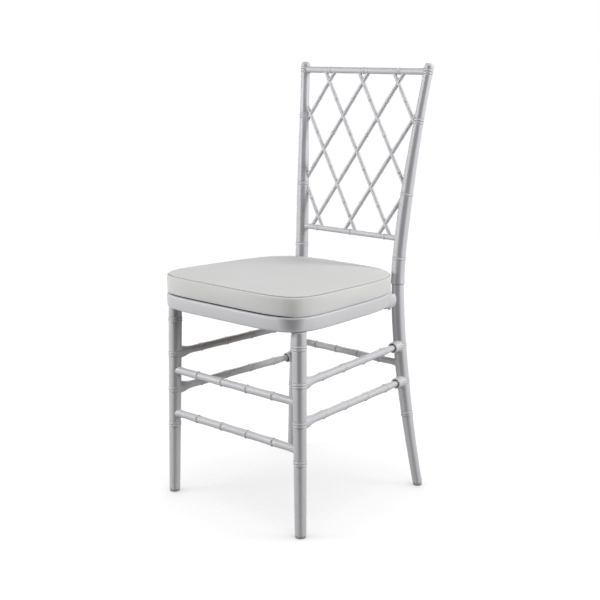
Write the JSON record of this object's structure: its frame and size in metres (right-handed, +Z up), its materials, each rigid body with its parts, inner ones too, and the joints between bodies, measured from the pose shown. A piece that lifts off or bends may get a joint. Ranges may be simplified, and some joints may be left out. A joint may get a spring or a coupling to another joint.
{
  "type": "lattice back dining chair",
  "caption": "Side chair with a turned bamboo-style frame, an open diamond lattice back between leaning posts, splayed legs with stretchers and a lift-off boxed seat cushion.",
  "frame": {"origin": "on the floor, under the middle of the chair's overall box", "axes": "+Z up, -Y towards the front of the chair, +X to the right of someone facing its front, in the view from the front"},
  "size_m": [0.4, 0.4615, 0.9202],
  "materials": {
    "silver_lacquer": "turned hardwood under satin silver lacquer",
    "plywood": "bare birch plywood",
    "zinc_steel": "zinc plated",
    "glide_plastic": "moulded, matte",
    "cushion_cover": "matte light grey cover with a seam around the top",
    "cushion_base_board": "thin board wrapped in black lining",
    "hook_tape": "black hook and loop tape"
  },
  "bodies": {
    "chair_frame": {"back_stretcher": "silver_lacquer", "board_screw_1": "zinc_steel", "board_screw_2": "zinc_steel", "board_screw_3": "zinc_steel", "board_screw_4": "zinc_steel", "falling_lattice_bar_1": "silver_lacquer", "falling_lattice_bar_2": "silver_lacquer", "falling_lattice_bar_3": "silver_lacquer", "falling_lattice_bar_4": "silver_lacquer", "falling_lattice_bar_5": "silver_lacquer", "front_stretcher_lower": "silver_lacquer", "front_stretcher_upper": "silver_lacquer", "hook_pad_1": "hook_tape", "hook_pad_2": "hook_tape", "hook_pad_3": "hook_tape", "hook_pad_4": "hook_tape", "left_back_glide": "glide_plastic", "left_back_post": "silver_lacquer", "left_front_glide": "glide_plastic", "left_front_leg": "silver_lacquer", "left_leg_screw": "zinc_steel", "left_seat_bolt": "zinc_steel", "left_side_stretcher_lower": "silver_lacquer", "left_side_stretcher_upper": "silver_lacquer", "lower_back_rail": "silver_lacquer", "right_back_glide": "glide_plastic", "right_back_post": "silver_lacquer", "right_front_glide": "glide_plastic", "right_front_leg": "silver_lacquer", "right_leg_screw": "zinc_steel", "right_seat_bolt": "zinc_steel", "right_side_stretcher_lower": "silver_lacquer", "right_side_stretcher_upper": "silver_lacquer", "rising_lattice_bar_1": "silver_lacquer", "rising_lattice_bar_2": "silver_lacquer", "rising_lattice_bar_3": "silver_lacquer", "rising_lattice_bar_4": "silver_lacquer", "rising_lattice_bar_5": "silver_lacquer", "seat_board": "plywood", "seat_ring": "silver_lacquer", "top_rail": "silver_lacquer"},
    "lift_off_cushion": {"cushion": "cushion_cover", "cushion_base": "cushion_base_board", "loop_pad_1": "hook_tape", "loop_pad_2": "hook_tape", "loop_pad_3": "hook_tape", "loop_pad_4": "hook_tape"}
  },
  "joints": [
    {"name": "cushion_lift", "type": "slide", "parent": "chair_frame", "child": "lift_off_cushion", "axis": [0, 0, 1], "range_m": [0, 0.15]}
  ]
}
